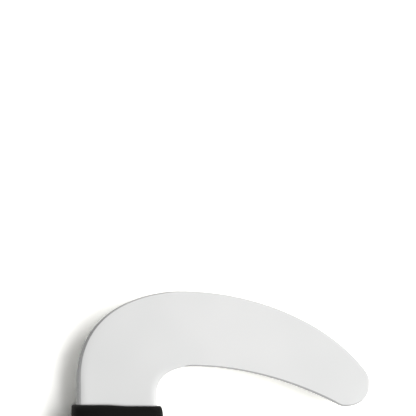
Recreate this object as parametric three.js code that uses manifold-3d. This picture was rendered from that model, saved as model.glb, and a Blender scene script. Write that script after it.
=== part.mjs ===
// Ergonomic table knife: a hooked steel blade whose tang is pinned into a thick, soft-gripped handle.
// Millimetres. The knife lies on a table: X runs from the handle towards the blade's tip,
// Y along the handle towards the blade, Z up. The origin is on the grip's flat rest face.
import * as THREE from "three";
import { mergeVertices } from "three/addons/utils/BufferGeometryUtils.js";
import Module from "manifold-3d";

const wasm = await Module();
wasm.setup();

// Clearances
const FIT_GAP = 0.3; // between pieces that seat on, in or around each other
const SPLIT_GAP = 0.3; // between the two core halves, at their weld line

// Blade outline. Heights are above the grip's mouth, sideways places are from the handle's axis.
const NECK_WIDTH = 27.3;
const NECK_SEAT = 4; // how far the neck goes down into the grip's mouth
const BACK_STRAIGHT = 7.3; // height where the neck's back edge starts to curve
const FRONT_STRAIGHT = 3.8; // height where the neck's front edge starts to curve
const CREST_X = 21.8;
const CREST_HEIGHT = 38.6;
const ARCH_X = 25.8; // top of the hollow under the blade
const ARCH_HEIGHT = 13;
const BLADE_REACH = 86; // handle axis to the tip's furthest point
const TIP_HEIGHT = 7.3; // height of that furthest point
const TIP_ROUND_ACROSS = 8.4; // radii of the tip's lower corner
const TIP_ROUND_DOWN = 7.9;
const SHOULDER_BACK = 2.95; // end of the cutting edge, back from and above the tip's furthest point
const SHOULDER_RISE = 6.15;
const SHOULDER_SLOPE = 47.9; // degrees down from level
const HEEL_BACK = 4.6; // end of the hollow, back from and above the tip's lowest point
const HEEL_RISE = 1.7;
const HEEL_SLOPE = 24.7;

// How far a curve keeps its direction where it leaves and where it arrives, as shares of its chord
const BACK_CURVE = { leave: 0.53, arrive: 0.295 };
const CUTTING_CURVE = { leave: 0.25, arrive: 0.4 };
const FRONT_CURVE = { leave: 0.61, arrive: 0.13 };
const HOLLOW_CURVE = { leave: 0.214, arrive: 0.472 };
const SHOULDER_CURVE = { leave: 0.4, arrive: 0.4 };
const HEEL_CURVE = { leave: 0.35, arrive: 0.35 };

// Blade section
const NECK_THICKNESS = 3;
const TIP_THICKNESS = 1.9;
const EDGE_THICKNESS = 0.9; // just behind the cutting bevel
const EDGE_BEVEL = 0.8; // width of the cutting bevel
const EDGE_ROUND = 1.8; // how far the rounding of a blunt edge reaches into the face
const SHARP_FROM = 0.35; // where along the back's curve the rounding starts to turn into the cutting edge
const SHARP_FULL = 0.95;
const ROUND_SHARE = 0.4; // the most of a narrow rib that one rounding takes

// Tang and its dowel pins
const TANG_WIDTH = 15;
const TANG_THICKNESS = 2.6;
const TANG_TO_CAP = 11; // from the tang's end to the butt cap's stem
const PIN_DIAMETER = 4;
const PIN_CHAMFER = 0.5;
const PIN_FIRST = 16; // from the blade's shoulders to the first pin
const PIN_LAST = 16; // from the last pin to the tang's end
const PIN_NAMES = ["upper", "middle", "lower"];

// Grip: depths are measured down from the mouth. Palm and finger say how far each side stands out
// beyond the mouth's wall beside the neck, and half is the half thickness.
const GRIP_LENGTH = 112;
const MOUTH_LIP = 1.35; // wall left beside the neck
const MOUTH = { finger: 0.1, half: 8.8 };
const SWELL = { down: 22, palm: 0.3, finger: 2.2, half: 11.7 }; // behind the index finger
const WAIST = { down: 46, palm: 0.7, finger: 1.3, half: 11.9 };
const HEEL = { down: 72, palm: 0.5, finger: 1.9, half: 11.8 }; // under the little finger
const BUTT = { palm: -1.1, finger: -0.7, half: 10 };
const GRIP_STATIONS = [{ down: 0, palm: 0, ...MOUTH }, SWELL, WAIST, HEEL, { down: GRIP_LENGTH, ...BUTT }];
const GRIP_SQUARENESS = 3.1; // exponent of the superellipse section
const GRIP_WALL = 3;
const REST_CUT = 1.3; // depth of the flat rest face, off the grip's fullest section
const MOUTH_ROUND = { palm: 0.6, finger: 1.1, face: 2.2 }; // rounding of the mouth's outer rim
const BUTT_ROUND = { down: 10, side: 6.4, face: 4.6 }; // rounding of the butt: along, sideways, front to rear
const BUTT_WALL = 5.5;

// Core, gasket and butt cap
const CORE_SKIN = 2.2; // left between a pocket or a pin's end and the core's outside
const PIN_BOSS = 8.6; // length of core kept whole around each pin
const POCKET_WIDTH = 10;
const GASKET_THICKNESS = 1.2;
const CAP_RIM = 1.4; // grip left round the cap on the butt's flat end
const CAP_THICKNESS = 1.6;
const CAP_CROWN = 0.6;
const CROWN_FLAT = 0.6; // share of the cap's face that its crown slopes over
const CAP_STEM_MARGIN = 1.6; // flange around the stem
const CAP_STEM_LENGTH = 11;

// Fineness
const ROUND_SIDES = 20;
const GRIP_SIDES = 40;
const BODY_STEPS = 12;
const CORE_STEPS = 8;
const BUTT_STEPS = 6;
const RIM_SHARES = [0, 0.1, 0.3, 0.6, 1];
const EDGE_SHARES = [0, 0.12, 0.5, 1]; // points across the cutting bevel, and as many across a blunt edge
const CROWN_SHARES = [0, 0.6, 1]; // rises of the butt cap's crown
const NECK_RIBS = 1;
const TURN_RIBS = 14;
const SWEEP_RIBS = 13;
const TIP_RIBS = 5;
const WELD = 1e-4; // points closer than this are one

// Sizes that follow
const tipSide = BLADE_REACH - TIP_ROUND_ACROSS;
const mouthSide = NECK_WIDTH / 2 + FIT_GAP + MOUTH_LIP;
const bladeToTable = Math.max(...GRIP_STATIONS.map(({ half }) => half)) - REST_CUT;
const cavityEnd = GRIP_LENGTH - BUTT_WALL;
const gasketTop = NECK_SEAT + FIT_GAP;
const coreTop = gasketTop + GASKET_THICKNESS + FIT_GAP;
const coreEnd = cavityEnd - FIT_GAP;
const capStemTop = GRIP_LENGTH - CAP_THICKNESS - CAP_STEM_LENGTH;
const tangEnd = capStemTop - TANG_TO_CAP;
const capWidth = 2 * (mouthSide + BUTT.palm - BUTT_ROUND.side - CAP_RIM);
const capHeight = 2 * (BUTT.half - BUTT_ROUND.face - CAP_RIM);
const pinDepths = evenSteps(NECK_SEAT + PIN_FIRST, tangEnd - PIN_LAST, PIN_NAMES.length - 1);
const pinHalves = pinDepths.map((depth) => gripStation(depth).half);
const pinLength = 2 * (Math.min(...pinHalves) - GRIP_WALL - 2 * FIT_GAP - CORE_SKIN);

const steel = new THREE.MeshStandardMaterial({ color: 0xdcdcdc, metalness: 0.9, roughness: 0.35 });
const pinSteel = new THREE.MeshStandardMaterial({ color: 0xb9bcc0, metalness: 0.9, roughness: 0.3 });
const gripBlack = new THREE.MeshStandardMaterial({ color: 0x161614, metalness: 0, roughness: 0.5 });
const coreGrey = new THREE.MeshStandardMaterial({ color: 0x3a3b3d, metalness: 0, roughness: 0.6 });
const gasketBlack = new THREE.MeshStandardMaterial({ color: 0x1b1b1b, metalness: 0, roughness: 0.8 });
const capBlack = new THREE.MeshStandardMaterial({ color: 0x131312, metalness: 0, roughness: 0.4 });

// Shapes and solids

function evenSteps(from, to, count) {
  return Array.from({ length: count + 1 }, (_, i) => from + ((to - from) * i) / count);
}

function weld(geometry) {
  const bare = geometry.index ? geometry.toNonIndexed() : geometry.clone();
  for (const name of Object.keys(bare.attributes)) {
    if (name !== "position") bare.deleteAttribute(name);
  }
  const merged = mergeVertices(bare, WELD);
  const kept = [];
  const corners = merged.index.array;
  for (let i = 0; i < corners.length; i += 3) {
    const [a, b, c] = corners.slice(i, i + 3);
    if (a !== b && b !== c && c !== a) kept.push(a, b, c);
  }
  merged.setIndex(kept);
  return merged;
}

function toSolid(geometry) {
  const closed = weld(geometry);
  const mesh = new wasm.Mesh({
    numProp: 3,
    vertProperties: closed.attributes.position.array,
    triVerts: new Uint32Array(closed.index.array),
  });
  return new wasm.Manifold(mesh);
}

function toGeometry(solid) {
  const { vertProperties, triVerts } = solid.getMesh();
  const geometry = new THREE.BufferGeometry();
  geometry.setAttribute("position", new THREE.BufferAttribute(vertProperties, 3));
  geometry.setIndex(new THREE.BufferAttribute(triVerts, 1));
  geometry.computeVertexNormals();
  return geometry;
}

// A closed skin through rings of equal point counts, with its ends filled.
function loft(rings) {
  const sides = rings[0].length;
  const middle = (ring) => ring.reduce((sum, p) => sum.add(p), new THREE.Vector3()).divideScalar(sides);
  const triangles = [];
  for (let i = 0; i + 1 < rings.length; i++) {
    for (let j = 0; j < sides; j++) {
      const k = (j + 1) % sides;
      const [a, b, c, d] = [rings[i][j], rings[i][k], rings[i + 1][k], rings[i + 1][j]];
      triangles.push(a, b, c, a, c, d);
    }
  }
  const [first, last] = [rings[0], rings.at(-1)];
  const [start, end] = [middle(first), middle(last)];
  for (let j = 0; j < sides; j++) {
    const k = (j + 1) % sides;
    triangles.push(start, first[k], first[j], end, last[j], last[k]);
  }
  let volume = 0;
  for (let i = 0; i < triangles.length; i += 3) {
    const [a, b, c] = triangles.slice(i, i + 3);
    volume += a.dot(b.clone().cross(c));
  }
  if (volume < 0) triangles.reverse();
  return new THREE.BufferGeometry().setFromPoints(triangles);
}

// An outline in X and Z, pushed along the handle from one depth to another.
function prism(shape, from, to) {
  const options = { depth: to - from, bevelEnabled: false, curveSegments: ROUND_SIDES };
  return new THREE.ExtrudeGeometry(shape, options).rotateX(Math.PI / 2).translate(0, -from, 0);
}

// An outline in X and Y, as a plate about the blade's mid-plane.
function plate(shape, thickness) {
  const options = { depth: thickness, bevelEnabled: false, curveSegments: ROUND_SIDES };
  return new THREE.ExtrudeGeometry(shape, options).translate(0, 0, -thickness / 2);
}

function oval(width, height) {
  return new THREE.Shape().absellipse(0, 0, width / 2, height / 2, 0, Math.PI * 2);
}

function slot(width, height) {
  const [end, radius] = [(width - height) / 2, height / 2];
  const shape = new THREE.Shape();
  shape.absarc(end, 0, radius, -Math.PI / 2, Math.PI / 2);
  shape.absarc(-end, 0, radius, Math.PI / 2, (3 * Math.PI) / 2);
  return shape;
}

// Everything on one side of a plane across Z, wide enough for the whole knife.
function halfSpace(level, side) {
  const wide = 4 * (GRIP_LENGTH + BLADE_REACH);
  return new THREE.BoxGeometry(wide, wide, wide).translate(0, 0, level + (side * wide) / 2);
}

// Blade: ribs run from the blunt inner edge to the outer one, a round back that turns into the cutting edge.

function bladeStretches() {
  const point = (x, y) => new THREE.Vector2(x, y);
  const down = (degrees) => {
    const angle = THREE.MathUtils.degToRad(-degrees);
    return point(Math.cos(angle), Math.sin(angle));
  };
  const [level, upward] = [down(0), down(-90)];
  const curve = (from, leaving, to, arriving, pull) => {
    const chord = from.distanceTo(to);
    const out = from.clone().addScaledVector(leaving, pull.leave * chord);
    const back = to.clone().addScaledVector(arriving, -pull.arrive * chord);
    return new THREE.CubicBezierCurve(from, out, back, to);
  };
  const side = NECK_WIDTH / 2;
  const back = point(-side, BACK_STRAIGHT);
  const front = point(side, FRONT_STRAIGHT);
  const crest = point(CREST_X, CREST_HEIGHT);
  const arch = point(ARCH_X, ARCH_HEIGHT);
  const tip = point(BLADE_REACH, TIP_HEIGHT);
  const lowest = point(tipSide, TIP_HEIGHT - TIP_ROUND_DOWN);
  const shoulder = point(tip.x - SHOULDER_BACK, tip.y + SHOULDER_RISE);
  const heel = point(lowest.x - HEEL_BACK, lowest.y + HEEL_RISE);
  const corner = (from, to) =>
    new THREE.EllipseCurve(tipSide, tip.y, TIP_ROUND_ACROSS, TIP_ROUND_DOWN, from, to, to < from);
  const turnSharp = (u) => THREE.MathUtils.smoothstep(u, SHARP_FROM, SHARP_FULL);
  return [
    {
      outer: new THREE.LineCurve(point(-side, -NECK_SEAT), back),
      inner: new THREE.LineCurve(point(side, -NECK_SEAT), front),
      ribs: NECK_RIBS,
      sharp: () => 0,
    },
    {
      outer: curve(back, upward, crest, level, BACK_CURVE),
      inner: curve(front, upward, arch, level, FRONT_CURVE),
      ribs: TURN_RIBS,
      sharp: turnSharp,
    },
    {
      outer: curve(crest, level, shoulder, down(SHOULDER_SLOPE), CUTTING_CURVE),
      inner: curve(arch, level, heel, down(HEEL_SLOPE), HOLLOW_CURVE),
      ribs: SWEEP_RIBS,
      sharp: () => 1,
    },
    {
      outer: curve(shoulder, down(SHOULDER_SLOPE), tip, down(90), SHOULDER_CURVE),
      inner: curve(heel, down(HEEL_SLOPE), lowest, level, HEEL_CURVE),
      ribs: TIP_RIBS,
      sharp: (u) => 1 - turnSharp(u),
    },
    {
      outer: corner(0, -Math.PI / 4),
      inner: corner(-Math.PI / 2, -Math.PI / 4),
      ribs: TIP_RIBS,
      sharp: () => 0,
    },
  ];
}

// Rise of a quarter round from 0 at an edge to 1 at its reach.
function rounding(distance, reach) {
  const left = 1 - Math.min(distance / reach, 1);
  return Math.sqrt(1 - left * left);
}

function bladeRib(inner, outer, sharp) {
  const width = inner.distanceTo(outer);
  const isPoint = width < WELD;
  const reach = Math.min(EDGE_ROUND, ROUND_SHARE * width);
  const bevel = Math.min(EDGE_BEVEL, ROUND_SHARE * width);
  const edge = [...EDGE_SHARES.map((share) => share * bevel), Math.max(reach, bevel)];
  const distances = [...edge, width / 2, ...edge.map((d) => width - d).reverse()];
  const along = THREE.MathUtils.clamp((inner.x + outer.x) / 2 / BLADE_REACH, 0, 1);
  const spine = THREE.MathUtils.lerp(NECK_THICKNESS, TIP_THICKNESS, along) / 2;
  const behindEdge = THREE.MathUtils.lerp(spine, EDGE_THICKNESS / 2, sharp);
  return distances.map((d) => {
    if (isPoint) return new THREE.Vector3(outer.x, outer.y, 0);
    const face = THREE.MathUtils.lerp(spine, behindEdge, d / width);
    const blunt = rounding(width - d, reach);
    const ground = Math.min((width - d) / bevel, 1);
    const rise = face * rounding(d, reach) * THREE.MathUtils.lerp(blunt, ground, sharp);
    const place = inner.clone().lerp(outer, d / width);
    return new THREE.Vector3(place.x, place.y, rise);
  });
}

function bladeBody() {
  const rings = [];
  for (const { outer, inner, ribs, sharp } of bladeStretches()) {
    for (const u of evenSteps(0, 1, ribs).slice(rings.length > 0 ? 1 : 0)) {
      const top = bladeRib(inner.getPointAt(u), outer.getPointAt(u), sharp(u));
      const under = top.slice(1, -1).reverse();
      rings.push([...top, ...under.map(({ x, y, z }) => new THREE.Vector3(x, y, -z))]);
    }
  }
  return loft(rings);
}

// The tang hangs from inside the neck and ends in a half round.
function tang(clearance) {
  const half = TANG_WIDTH / 2 + clearance;
  const shape = new THREE.Shape();
  shape.moveTo(half, -NECK_SEAT / 2);
  shape.lineTo(-half, -NECK_SEAT / 2);
  shape.absarc(0, TANG_WIDTH / 2 - tangEnd, half, Math.PI, 2 * Math.PI);
  return plate(shape, TANG_THICKNESS + 2 * clearance);
}

function pinHole(depth, length) {
  const radius = PIN_DIAMETER / 2 + FIT_GAP;
  const hole = new THREE.CylinderGeometry(radius, radius, length, ROUND_SIDES);
  return hole.rotateX(Math.PI / 2).translate(0, -depth, 0);
}

function makeBlade() {
  let blade = toSolid(bladeBody()).add(toSolid(tang(0)));
  for (const depth of pinDepths) {
    blade = blade.subtract(toSolid(pinHole(depth, 2 * NECK_THICKNESS)));
  }
  return toGeometry(blade);
}

// Grip

// Half sizes of the grip at a depth, on a smooth curve through the stations.
// Its slope at a station is that of the parabola through the three nearest ones.
function gripStation(down) {
  const stations = GRIP_STATIONS;
  const last = stations.length - 1;
  const above = stations.findLastIndex((station) => station.down <= down);
  const i = THREE.MathUtils.clamp(above, 0, last - 1);
  const [a, b] = [stations[i], stations[i + 1]];
  const span = b.down - a.down;
  const t = (down - a.down) / span;
  const slope = (k, key) => {
    const first = THREE.MathUtils.clamp(k - 1, 0, last - 2);
    const near = stations.slice(first, first + 3);
    return near.reduce((sum, p) => {
      const [q, r] = near.filter((other) => other !== p);
      const rate = 2 * stations[k].down - q.down - r.down;
      return sum + (p[key] * rate) / ((p.down - q.down) * (p.down - r.down));
    }, 0);
  };
  const at = (key) =>
    (2 * t ** 3 - 3 * t ** 2 + 1) * a[key] +
    (t ** 3 - 2 * t ** 2 + t) * span * slope(i, key) +
    (3 * t ** 2 - 2 * t ** 3) * b[key] +
    (t ** 3 - t ** 2) * span * slope(i + 1, key);
  return { palm: mouthSide + at("palm"), finger: mouthSide + at("finger"), half: at("half") };
}

function gripRing(down, less) {
  const { palm, finger, half } = gripStation(down);
  return Array.from({ length: GRIP_SIDES }, (_, i) => {
    const angle = (2 * Math.PI * i) / GRIP_SIDES;
    const [c, s] = [Math.cos(angle), Math.sin(angle)];
    const across = Math.sign(c) * Math.abs(c) ** (2 / GRIP_SQUARENESS);
    const up = Math.sign(s) * Math.abs(s) ** (2 / GRIP_SQUARENESS);
    const side = c > 0 ? finger - less.finger : palm - less.palm;
    return new THREE.Vector3(across * side, -down, up * (half - less.face));
  });
}

// What the butt's rounding takes off the sides at a depth.
function buttLoss(down) {
  const past = THREE.MathUtils.clamp((down - GRIP_LENGTH) / BUTT_ROUND.down + 1, 0, 1);
  return 1 - Math.sqrt(1 - past * past);
}

function gripOutside() {
  const rimReach = Math.max(...Object.values(MOUTH_ROUND));
  const buttStart = GRIP_LENGTH - BUTT_ROUND.down;
  const rim = RIM_SHARES.map((share) => share * rimReach);
  const body = evenSteps(rimReach, buttStart, BODY_STEPS).slice(1);
  const turns = evenSteps(0, Math.PI / 2, BUTT_STEPS).slice(1);
  const butt = turns.map((turn) => buttStart + BUTT_ROUND.down * Math.sin(turn));
  const rimLoss = (down, radius) => radius * (1 - rounding(down, radius));
  const rings = [...rim, ...body, ...butt].map((down) =>
    gripRing(down, {
      palm: rimLoss(down, MOUTH_ROUND.palm) + buttLoss(down) * BUTT_ROUND.side,
      finger: rimLoss(down, MOUTH_ROUND.finger) + buttLoss(down) * BUTT_ROUND.side,
      face: rimLoss(down, MOUTH_ROUND.face) + buttLoss(down) * BUTT_ROUND.face,
    }),
  );
  return loft(rings);
}

// The space inside the grip, or what fills it with a clearance all round.
function gripInside(from, to, clearance, steps) {
  const less = GRIP_WALL + clearance;
  const rings = evenSteps(from, to, steps).map((down) => {
    const side = less + buttLoss(down) * BUTT_ROUND.side;
    return gripRing(down, { palm: side, finger: side, face: less + buttLoss(down) * BUTT_ROUND.face });
  });
  return loft(rings);
}

function capSeat() {
  const shape = oval(capWidth + 2 * FIT_GAP, capHeight + 2 * FIT_GAP);
  return prism(shape, GRIP_LENGTH - CAP_THICKNESS - FIT_GAP, GRIP_LENGTH + CAP_THICKNESS);
}

function capStem(clearance) {
  const less = 2 * (CAP_STEM_MARGIN - clearance);
  const shape = oval(capWidth - less, capHeight - less);
  return prism(shape, capStemTop - clearance, GRIP_LENGTH - CAP_THICKNESS / 2);
}

function makeGripSleeve() {
  const mouth = slot(NECK_WIDTH + 2 * FIT_GAP, NECK_THICKNESS + 2 * FIT_GAP);
  const sleeve = toSolid(gripOutside())
    .subtract(toSolid(halfSpace(-bladeToTable, -1)))
    .subtract(toSolid(gripInside(NECK_SEAT, cavityEnd, 0, CORE_STEPS)))
    .subtract(toSolid(prism(mouth, -NECK_SEAT, NECK_SEAT + FIT_GAP)))
    .subtract(toSolid(capSeat()))
    .subtract(toSolid(capStem(FIT_GAP)));
  return toGeometry(sleeve);
}

// Core halves: the tang lies in a bed between them, over pockets that stop short of each pin's boss.

function pocketSpans() {
  const starts = [coreTop + CORE_SKIN, ...pinDepths.map((depth) => depth + PIN_BOSS / 2)];
  const ends = [...pinDepths.map((depth) => depth - PIN_BOSS / 2), tangEnd - CORE_SKIN];
  return starts.map((from, i) => [from, ends[i]]);
}

function makeCoreHalf(side) {
  let core = toSolid(gripInside(coreTop, coreEnd, FIT_GAP, CORE_STEPS))
    .intersect(toSolid(halfSpace((side * SPLIT_GAP) / 2, side)))
    .subtract(toSolid(tang(FIT_GAP)))
    .subtract(toSolid(capStem(FIT_GAP)));
  for (const [from, to] of pocketSpans()) {
    const half = Math.min(gripStation(from).half, gripStation(to).half);
    const deep = half - GRIP_WALL - FIT_GAP - CORE_SKIN;
    const pocket = new THREE.BoxGeometry(POCKET_WIDTH, to - from, 2 * deep);
    core = core.subtract(toSolid(pocket.translate(0, -(from + to) / 2, 0)));
  }
  for (const depth of pinDepths) {
    core = core.subtract(toSolid(pinHole(depth, pinLength + 2 * FIT_GAP)));
  }
  return toGeometry(core);
}

// Small pieces

function makePin() {
  const [radius, end] = [PIN_DIAMETER / 2, pinLength / 2];
  const profile = [
    new THREE.Vector2(0, -end),
    new THREE.Vector2(radius - PIN_CHAMFER, -end),
    new THREE.Vector2(radius, -end + PIN_CHAMFER),
    new THREE.Vector2(radius, end - PIN_CHAMFER),
    new THREE.Vector2(radius - PIN_CHAMFER, end),
    new THREE.Vector2(0, end),
  ];
  return weld(new THREE.LatheGeometry(profile, ROUND_SIDES));
}

function makeMouthGasket() {
  const body = gripInside(gasketTop, gasketTop + GASKET_THICKNESS, FIT_GAP, 1);
  return toGeometry(toSolid(body).subtract(toSolid(tang(FIT_GAP))));
}

// A crowned oval plug on a stem that reaches into the core.
function makeButtCap() {
  const ring = (down, share) => {
    const outline = oval(capWidth * share, capHeight * share).getPoints(ROUND_SIDES).slice(1);
    return outline.map(({ x, y }) => new THREE.Vector3(x, -down, y));
  };
  const crown = (rise) => ring(GRIP_LENGTH + CAP_CROWN * rise, Math.sqrt(1 - CROWN_FLAT * rise));
  const flange = loft([ring(GRIP_LENGTH - CAP_THICKNESS, 1), ...CROWN_SHARES.map(crown)]);
  return toGeometry(toSolid(flange).add(toSolid(capStem(0))));
}

// Assembly

function piece(name, geometry, material) {
  const mesh = new THREE.Mesh(geometry, material);
  mesh.name = name;
  return mesh;
}

const knife = new THREE.Group();
knife.add(piece("blade", makeBlade(), steel));
knife.add(piece("grip_sleeve", makeGripSleeve(), gripBlack));
knife.add(piece("core_front_half", makeCoreHalf(1), coreGrey));
knife.add(piece("core_rear_half", makeCoreHalf(-1), coreGrey));
knife.add(piece("mouth_gasket", makeMouthGasket(), gasketBlack));
knife.add(piece("butt_cap", makeButtCap(), capBlack));
pinDepths.forEach((depth, i) => {
  const pin = piece(`tang_pin_${PIN_NAMES[i]}`, makePin(), pinSteel);
  pin.rotation.x = Math.PI / 2;
  pin.position.y = -depth;
  knife.add(pin);
});

// The handle lies centred on the origin with its rest face on the table.
const laid = new THREE.Group();
knife.position.set(0, GRIP_LENGTH / 2, bladeToTable);
laid.add(knife);

export default laid;
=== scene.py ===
# %% [markdown]
# # An ergonomic table knife
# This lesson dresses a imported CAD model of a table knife: a hooked steel blade in a thick black grip.
# The CAD solids are exact but coarse. Blender adds what the eye needs: a finely ground blade, a grip with
# soft moulded edges, and finishes that catch light as satin steel and soft-touch rubber do.
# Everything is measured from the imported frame, so the dressed knife stays the size of the real one.

# %% Load the frame and read its sizes
import math
from functools import partial
from types import SimpleNamespace

import bmesh
import bpy
import numpy as np
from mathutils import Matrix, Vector


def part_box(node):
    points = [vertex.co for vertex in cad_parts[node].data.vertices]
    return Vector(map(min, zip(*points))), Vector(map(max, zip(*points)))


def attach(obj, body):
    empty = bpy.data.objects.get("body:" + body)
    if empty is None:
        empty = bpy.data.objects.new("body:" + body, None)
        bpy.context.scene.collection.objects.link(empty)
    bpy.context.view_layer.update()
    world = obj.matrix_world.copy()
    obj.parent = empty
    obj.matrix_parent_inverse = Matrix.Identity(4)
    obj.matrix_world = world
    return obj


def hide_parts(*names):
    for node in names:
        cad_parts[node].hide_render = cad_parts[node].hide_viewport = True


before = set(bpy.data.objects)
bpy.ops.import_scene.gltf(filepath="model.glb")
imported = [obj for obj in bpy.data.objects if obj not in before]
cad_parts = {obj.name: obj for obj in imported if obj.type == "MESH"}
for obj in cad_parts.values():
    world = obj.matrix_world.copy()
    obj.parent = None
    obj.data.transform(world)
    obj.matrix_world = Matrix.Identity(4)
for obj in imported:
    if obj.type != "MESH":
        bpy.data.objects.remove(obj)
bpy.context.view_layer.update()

MM = 0.001
blade_low, blade_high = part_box("blade")
sleeve_low, sleeve_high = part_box("grip_sleeve")
MOUTH_Y = sleeve_high.y
MID_Z = (blade_low.z + blade_high.z) / 2
GRIP_LENGTH = (sleeve_high.y - sleeve_low.y) / MM
print("mouth at y", round(MOUTH_Y / MM, 2), "mm, blade's mid-plane at z", round(MID_Z / MM, 2), "mm")

# %% [markdown]
# ## Helpers for node trees
# A node tree can be clicked together or written down. Written down it is long, so a few helpers keep it
# readable: one adds any node, wires its inputs and gives one of its outputs, one does that for a Math node,
# and one gives the commonest Math nodes of a tree short names.

# %% Node helpers
SUMS = {
    "plus": "ADD",
    "minus": "SUBTRACT",
    "times": "MULTIPLY",
    "over": "DIVIDE",
    "least": "MINIMUM",
    "most": "MAXIMUM",
}


def wire(tree, kind, inputs=None, output=0, **options):
    """Add a node, set its options, link or set its inputs by name or number, and give one output."""
    node = tree.nodes.new(kind)
    for option, value in options.items():
        setattr(node, option, value)
    for key, value in (inputs or {}).items():
        socket = node.inputs[key]
        if isinstance(value, bpy.types.NodeSocket):
            tree.links.new(value, socket)
        else:
            socket.default_value = value
    return node.outputs[output]


def calc(tree, operation, *values):
    """One Math node on sockets or plain numbers."""
    return wire(tree, "ShaderNodeMath", dict(enumerate(values)), operation=operation)


def sums(tree):
    """The commonest Math nodes of a tree under short names."""
    return SimpleNamespace(**{name: partial(calc, tree, kind) for name, kind in SUMS.items()})


def between(tree, share, low, high):
    """A number that goes from low to high with the share."""
    return wire(tree, "ShaderNodeMix", {0: share, 2: low, 3: high})


print("short names for", list(SUMS))

# %% [markdown]
# ## Satin steel
# The blade is ground and then brushed: bright metal broken up by very fine scratches along the blade.
# Metal of one even roughness looks like foil, so here the roughness follows a noise that is stretched along
# the blade, a slow second noise leaves the face a little uneven, and the lands along the edges are polished
# evenly. The blade's mesh carries its own map for this, called grain: how far along the blade a point lies,
# how far across, and whether it is on a land.

# %% Helpers for finishes
NOISE_SPAN = (0.3, 0.7)


def new_finish(name):
    """An empty finish, with its tree and its shader."""
    finish = bpy.data.materials.new(name)
    finish.use_nodes = True
    return finish, finish.node_tree, finish.node_tree.nodes["Principled BSDF"]


def noise(tree, vector, size, detail=2):
    """Noise whose blotches have about this size."""
    inputs = {"Vector": vector, "Scale": 1 / size, "Detail": detail}
    return wire(tree, "ShaderNodeTexNoise", inputs)


def spread(tree, value, low, high):
    """Noise mostly keeps to a middling span, which becomes the range that is asked for."""
    return wire(tree, "ShaderNodeMapRange", dict(enumerate((value, *NOISE_SPAN, low, high))))


def tint(tree, share, low, high):
    """A colour that goes from low to high with the share."""
    return wire(tree, "ShaderNodeMix", {0: share, 6: low, 7: high}, 2, data_type="RGBA")


def bump(tree, height, depth, under=None):
    """Bumps of this depth, on top of others where there are some under them."""
    inputs = {"Height": height, "Distance": depth}
    if under is not None:
        inputs["Normal"] = under
    return wire(tree, "ShaderNodeBump", inputs)


def plug(tree, shader, **sockets):
    """Link sockets to the shader's inputs, named with underscores for spaces."""
    for name, socket in sockets.items():
        tree.links.new(socket, shader.inputs[name.replace("_", " ")])


print("noise between", *NOISE_SPAN, "fills the range that a finish asks for")

# %% Satin steel
STEEL_DULL = (0.76, 0.765, 0.76, 1)
STEEL_BRIGHT = (0.80, 0.80, 0.795, 1)
SCRATCH_LENGTH = 14 * MM
SCRATCH_WIDTH = 0.16 * MM
SCRATCH_DEPTH = 0.0006 * MM
FACE_ROUGHNESS = (0.13, 0.18)
LAND_ROUGHNESS = 0.16
UNEVEN_SIZE = 26 * MM
UNEVEN_DEPTH = 0.015 * MM


def satin_steel():
    finish, tree, shader = new_finish("satin_steel")
    grain = wire(tree, "ShaderNodeAttribute", output="Vector", attribute_name="grain")
    body = wire(tree, "ShaderNodeTexCoord", output="Object")
    stretch = {"Vector": grain, "Scale": (1 / SCRATCH_LENGTH, 1 / SCRATCH_WIDTH, 0)}
    scratches = noise(tree, wire(tree, "ShaderNodeMapping", stretch), size=1, detail=3)
    uneven = noise(tree, body, UNEVEN_SIZE, detail=1)
    on_land = wire(tree, "ShaderNodeSeparateXYZ", {0: grain}, "Z")
    face = spread(tree, scratches, *FACE_ROUGHNESS)
    shader.inputs["Metallic"].default_value = 1
    plug(
        tree,
        shader,
        Base_Color=tint(tree, spread(tree, uneven, 0, 1), STEEL_DULL, STEEL_BRIGHT),
        Roughness=between(tree, on_land, face, LAND_ROUGHNESS),
        Normal=bump(tree, scratches, SCRATCH_DEPTH, under=bump(tree, uneven, UNEVEN_DEPTH)),
    )
    return finish


STEEL = satin_steel()
print("made", STEEL.name, "from", len(STEEL.node_tree.nodes), "nodes")

# %% [markdown]
# ## The blade's outline
# Seen from above, the blade climbs out of the grip, turns over in a broad hook and sweeps down to a blunt,
# round tip. Below the mouth it narrows to a hidden tang. The outline is drawn as stretches that each have an
# inner and an outer edge, walked side by side, because the blade's ribs are laid between the two. Bezier
# curves keep their direction at both ends, so the stretches join without a kink.

# %% Curves
CURVE_STEPS = 400


def down(degrees):
    """The direction that many degrees below level."""
    angle = math.radians(-degrees)
    return np.array([math.cos(angle), math.sin(angle)])


def line(start, end):
    """A straight stretch."""
    return np.linspace(start, end, CURVE_STEPS)


def bend(start, leaving, end, arriving, pulls):
    """A Bezier curve whose pulls are shares of its chord."""
    start, end = np.array(start), np.array(end)
    chord = np.linalg.norm(end - start)
    first = start + pulls[0] * chord * leaving
    second = end - pulls[1] * chord * arriving
    t = np.linspace(0, 1, CURVE_STEPS)[:, None]
    return (1 - t) ** 3 * start + 3 * t * (1 - t) ** 2 * first + 3 * t**2 * (1 - t) * second + t**3 * end


def arc(centre, across, along, start, end, fullness=2):
    """Part of an ellipse between two angles in degrees, or of a fuller oval."""
    turn = np.radians(np.linspace(start, end, CURVE_STEPS))
    ways = np.column_stack([np.cos(turn), np.sin(turn)])
    return np.array(centre) + (across, along) * np.sign(ways) * np.abs(ways) ** (2 / fullness)


def evenly(points, count):
    """Points at even distances along a drawn curve."""
    steps = np.linalg.norm(np.diff(points, axis=0), axis=1)
    walked = np.concatenate([[0], np.cumsum(steps)])
    wanted = np.linspace(0, walked[-1], count)
    return np.column_stack([np.interp(wanted, walked, points[:, axis]) for axis in (0, 1)])


print("curves of", CURVE_STEPS, "points")

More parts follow.
